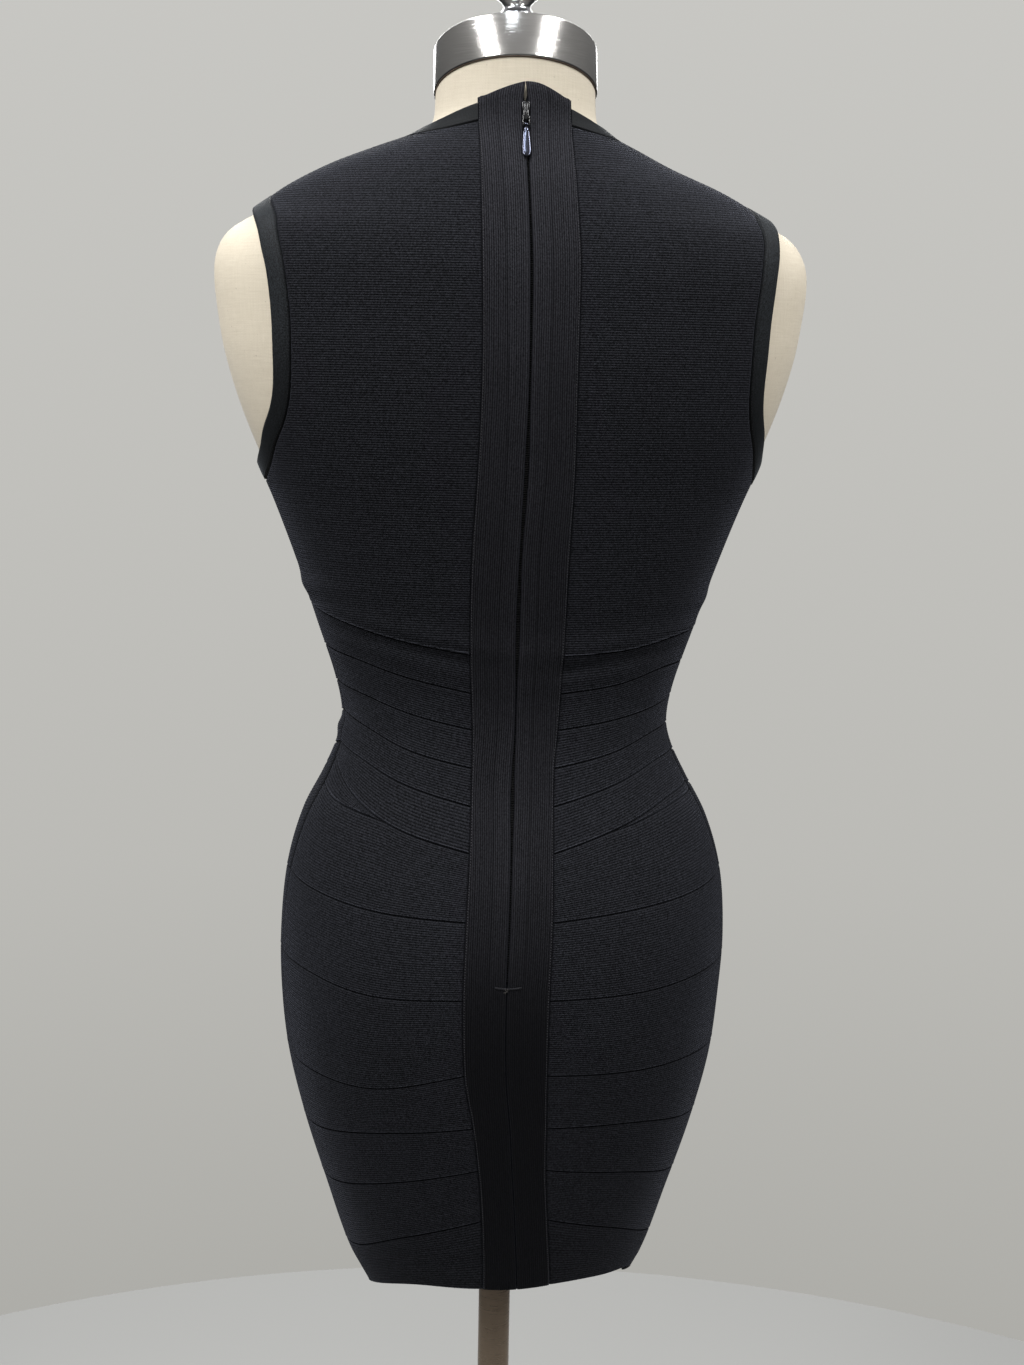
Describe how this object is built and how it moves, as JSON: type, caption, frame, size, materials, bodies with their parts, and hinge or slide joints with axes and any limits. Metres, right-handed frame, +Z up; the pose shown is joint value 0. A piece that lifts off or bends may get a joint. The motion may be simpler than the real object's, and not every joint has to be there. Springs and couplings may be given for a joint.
{
  "type": "bodycon dress on a dress form",
  "caption": "Black sleeveless high-neck bandage dress with a back zip, worn by a limbless linen dress form on a pole and round base.",
  "frame": {"origin": "centre of the base's underside, on the floor under the pole", "axes": "+Z up along the pole, +X to the wearer's left, +Y out of the back of the dress; the front faces -Y"},
  "size_m": [0.4202, 0.36, 1.698],
  "materials": {
    "knit": "dense horizontal rib knit, matte with a faint sheen",
    "strip_knit": "vertical rib knit, matte",
    "binding": "smooth satin-faced knit binding",
    "zip_metal": "glossy black enamelled metal",
    "linen": "cream linen stretched over a firm form",
    "cap_steel": "brushed round the cap",
    "finial_chrome": "polished",
    "pole_steel": "satin",
    "base_iron": "dark semi-matte coat"
  },
  "bodies": {
    "root": {"back_bodice_left": "knit", "back_waist_band_1_left": "knit", "back_waist_band_2_left": "knit", "back_waist_band_3_left": "knit", "back_waist_band_4_left": "knit", "back_waist_band_5_left": "knit", "back_skirt_band_1_left": "knit", "back_skirt_band_2_left": "knit", "back_skirt_band_3_left": "knit", "back_skirt_band_4_left": "knit", "back_skirt_band_5_left": "knit", "back_skirt_band_6_left": "knit", "back_skirt_band_7_left": "knit", "back_bodice_right": "knit", "back_waist_band_1_right": "knit", "back_waist_band_2_right": "knit", "back_waist_band_3_right": "knit", "back_waist_band_4_right": "knit", "back_waist_band_5_right": "knit", "back_skirt_band_1_right": "knit", "back_skirt_band_2_right": "knit", "back_skirt_band_3_right": "knit", "back_skirt_band_4_right": "knit", "back_skirt_band_5_right": "knit", "back_skirt_band_6_right": "knit", "back_skirt_band_7_right": "knit", "front_bodice": "knit", "front_waist_band_1": "knit", "front_waist_band_2": "knit", "front_waist_band_3": "knit", "front_waist_band_4": "knit", "front_waist_band_5": "knit", "front_skirt_band_1": "knit", "front_skirt_band_2": "knit", "front_skirt_band_3": "knit", "front_skirt_band_4": "knit", "front_skirt_band_5": "knit", "front_skirt_band_6": "knit", "front_skirt_band_7": "knit", "back_strip_left": "strip_knit", "back_strip_right": "strip_knit", "neckband": "binding", "armhole_binding_left": "binding", "armhole_binding_right": "binding", "zip_slider": "zip_metal", "form_torso": "linen", "form_neck_cap": "cap_steel", "form_finial": "finial_chrome", "stand_pole": "pole_steel", "stand_base": "base_iron"},
    "pull_tab": {"zip_pull_tab": "zip_metal"}
  },
  "joints": [
    {"name": "pull_tab_swing", "type": "hinge", "parent": "root", "child": "pull_tab", "pos_m": [-0.00342, 0.06695, 1.56915], "axis": [1, 0, 0], "range_deg": [0, 155]}
  ]
}
